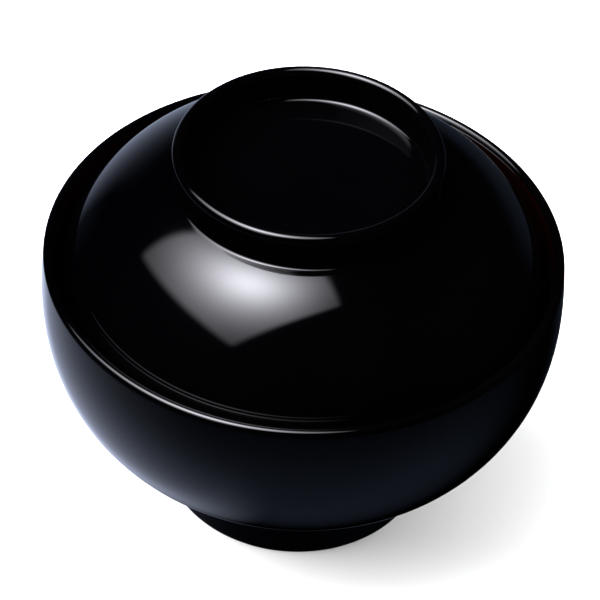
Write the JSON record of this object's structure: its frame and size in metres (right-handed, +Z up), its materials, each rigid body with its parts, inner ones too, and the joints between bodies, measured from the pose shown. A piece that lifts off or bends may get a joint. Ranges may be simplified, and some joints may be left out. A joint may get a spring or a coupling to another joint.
{
  "type": "covered lacquer bowl",
  "caption": "Round lacquer bowl on a foot ring, with a domed lid that drops inside its mouth and is lifted by a ring on top.",
  "frame": {"origin": "on the axis of turning, at the plane the foot ring stands on", "axes": "+Z up along the axis of turning, from the foot ring to the lid's lifting ring; X and Y are any two directions across it"},
  "size_m": [0.1238, 0.1238, 0.1023],
  "materials": {
    "turned_wood": "turned, sealed under lacquer",
    "black_lacquer": "mirror gloss",
    "red_lacquer": "gloss, a red-brown so dark that it is almost black"
  },
  "bodies": {
    "bowl": {"bowl_wood_core": "turned_wood", "bowl_recess_lacquer": "black_lacquer", "bowl_tread_lacquer": "black_lacquer", "bowl_outer_lacquer": "black_lacquer", "bowl_inner_lacquer": "red_lacquer"},
    "lid": {"lid_wood_core": "turned_wood", "lid_outer_lacquer": "black_lacquer", "lid_inner_lacquer": "red_lacquer"}
  },
  "joints": [
    {"name": "lid_lift", "type": "slide", "parent": "bowl", "child": "lid", "axis": [0, 0, 1], "range_m": [0, 0.08]}
  ]
}
